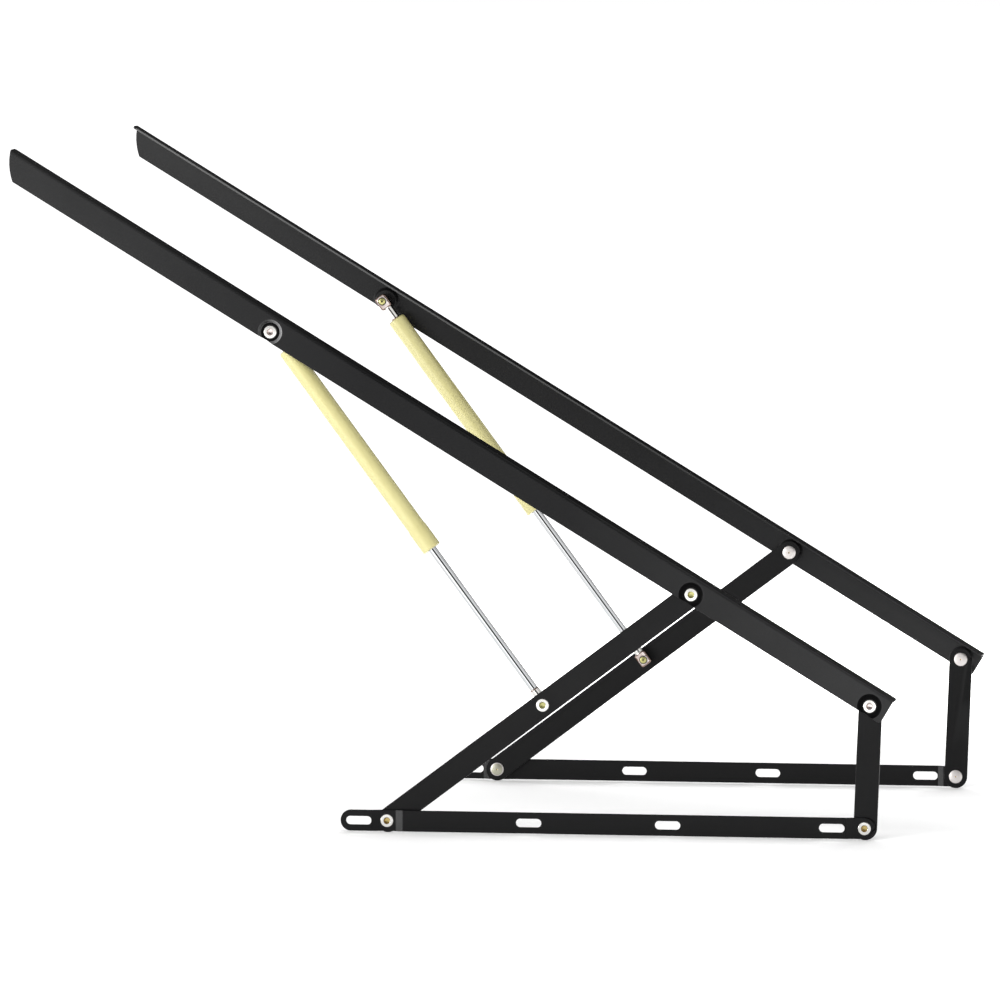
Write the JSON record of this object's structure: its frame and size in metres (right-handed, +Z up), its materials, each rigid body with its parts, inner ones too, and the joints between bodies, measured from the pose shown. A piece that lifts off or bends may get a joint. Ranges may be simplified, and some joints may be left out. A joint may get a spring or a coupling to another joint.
{
  "type": "bed lift mechanism",
  "caption": "Mirrored pair of four-bar bed lift units: slotted base bar, two links, angle rail for the mattress frame and a gas spring.",
  "frame": {"origin": "on the ground, at the middle of the pair's box, open as pictured", "axes": "+X from the lifting foot end to the hinge end, +Y from the right unit to the left unit, +Z up"},
  "size_m": [1.0589, 0.72, 0.8026],
  "materials": {
    "black_coat": "satin black powder coat with a fine grain",
    "nickel_plate": "bright nickel plate",
    "zinc_plate": "warm zinc plate",
    "brass": "turned brass",
    "cream_paint": "gloss cream enamel",
    "chrome_rod": "hard chrome, ground",
    "black_nylon": "moulded nylon",
    "black_seal": "matt rubber"
  },
  "bodies": {
    "bases": {"right_base_rail": "black_coat", "right_base_rivets": "nickel_plate", "right_base_washers": "black_nylon", "left_base_rail": "black_coat", "left_base_rivets": "nickel_plate", "left_base_washers": "black_nylon"},
    "right_long_arm": {"right_long_link": "black_coat", "right_long_link_bushes": "brass", "right_link_stud": "nickel_plate"},
    "right_rail": {"right_upper_rail": "black_coat", "right_long_rivet": "nickel_plate", "right_short_rivet": "nickel_plate", "right_rail_washers": "black_nylon", "right_rail_stud": "nickel_plate"},
    "right_short_arm": {"right_short_link": "black_coat", "right_short_link_bushes": "brass", "right_base_rivet_head": "nickel_plate"},
    "right_cylinder": {"right_cylinder_fitting": "zinc_plate", "right_cylinder_plug": "cream_paint", "right_cylinder_tube": "cream_paint", "right_cylinder_collar": "cream_paint", "right_rod_guide": "brass", "right_rod_seal": "black_seal"},
    "right_rod": {"right_piston": "zinc_plate", "right_piston_ring": "black_seal", "right_piston_nut": "zinc_plate", "right_piston_rod": "chrome_rod", "right_rod_fitting": "zinc_plate", "right_rod_pin": "nickel_plate"},
    "left_long_arm": {"left_long_link": "black_coat", "left_long_link_bushes": "brass", "left_link_stud": "nickel_plate"},
    "left_rail": {"left_upper_rail": "black_coat", "left_long_rivet": "nickel_plate", "left_short_rivet": "nickel_plate", "left_rail_washers": "black_nylon", "left_rail_stud": "nickel_plate"},
    "left_short_arm": {"left_short_link": "black_coat", "left_short_link_bushes": "brass", "left_base_rivet_head": "nickel_plate"},
    "left_cylinder": {"left_cylinder_fitting": "zinc_plate", "left_cylinder_plug": "cream_paint", "left_cylinder_tube": "cream_paint", "left_cylinder_collar": "cream_paint", "left_rod_guide": "brass", "left_rod_seal": "black_seal"},
    "left_rod": {"left_piston": "zinc_plate", "left_piston_ring": "black_seal", "left_piston_nut": "zinc_plate", "left_piston_rod": "chrome_rod", "left_rod_fitting": "zinc_plate", "left_rod_pin": "nickel_plate"}
  },
  "joints": [
    {"name": "right_fold", "type": "hinge", "parent": "bases", "child": "right_long_arm", "pos_m": [-0.07526, -0.35155, 0.014], "axis": [0, 1, 0], "range_deg": [0, 28.17]},
    {"name": "right_rail_turn", "type": "hinge", "parent": "right_long_arm", "child": "right_rail", "pos_m": [0.28827, -0.35155, 0.28596], "axis": [0, 1, 0], "range_deg": [-59.27, 0]},
    {"name": "right_short_turn", "type": "hinge", "parent": "right_rail", "child": "right_short_arm", "pos_m": [0.50064, -0.35155, 0.15788], "axis": [0, 1, 0], "range_deg": [0, 90.51]},
    {"name": "right_spring_turn", "type": "hinge", "parent": "right_rail", "child": "right_cylinder", "pos_m": [-0.21525, -0.3376, 0.58962], "axis": [0, 1, 0], "range_deg": [-17.03, 0]},
    {"name": "right_rod_slide", "type": "slide", "parent": "right_cylinder", "child": "right_rod", "axis": [0.598, 0, -0.8015], "range_m": [-0.17486, 0], "stiffness_N_per_m": 1200, "springref_m": 0.5},
    {"name": "left_fold", "type": "hinge", "parent": "bases", "child": "left_long_arm", "pos_m": [-0.07526, 0.35155, 0.014], "axis": [0, 1, 0], "range_deg": [0, 28.17]},
    {"name": "left_rail_turn", "type": "hinge", "parent": "left_long_arm", "child": "left_rail", "pos_m": [0.28827, 0.35155, 0.28596], "axis": [0, 1, 0], "range_deg": [-59.27, 0]},
    {"name": "left_short_turn", "type": "hinge", "parent": "left_rail", "child": "left_short_arm", "pos_m": [0.50064, 0.35155, 0.15788], "axis": [0, 1, 0], "range_deg": [0, 90.51]},
    {"name": "left_spring_turn", "type": "hinge", "parent": "left_rail", "child": "left_cylinder", "pos_m": [-0.21525, 0.3376, 0.58962], "axis": [0, 1, 0], "range_deg": [-17.03, 0]},
    {"name": "left_rod_slide", "type": "slide", "parent": "left_cylinder", "child": "left_rod", "axis": [0.598, 0, -0.8015], "range_m": [-0.17486, 0], "stiffness_N_per_m": 1200, "springref_m": 0.5}
  ],
  "couplings": [
    {"joint": "right_rail_turn", "follows": "right_fold", "ratio": -2.1039},
    {"joint": "right_short_turn", "follows": "right_fold", "ratio": 3.213},
    {"joint": "right_spring_turn", "follows": "right_fold", "ratio": -0.60408},
    {"joint": "right_rod_slide", "follows": "right_fold", "m_per_rad": -0.35547},
    {"joint": "left_rail_turn", "follows": "left_fold", "ratio": -2.1039},
    {"joint": "left_short_turn", "follows": "left_fold", "ratio": 3.213},
    {"joint": "left_spring_turn", "follows": "left_fold", "ratio": -0.60408},
    {"joint": "left_rod_slide", "follows": "left_fold", "m_per_rad": -0.35547}
  ]
}
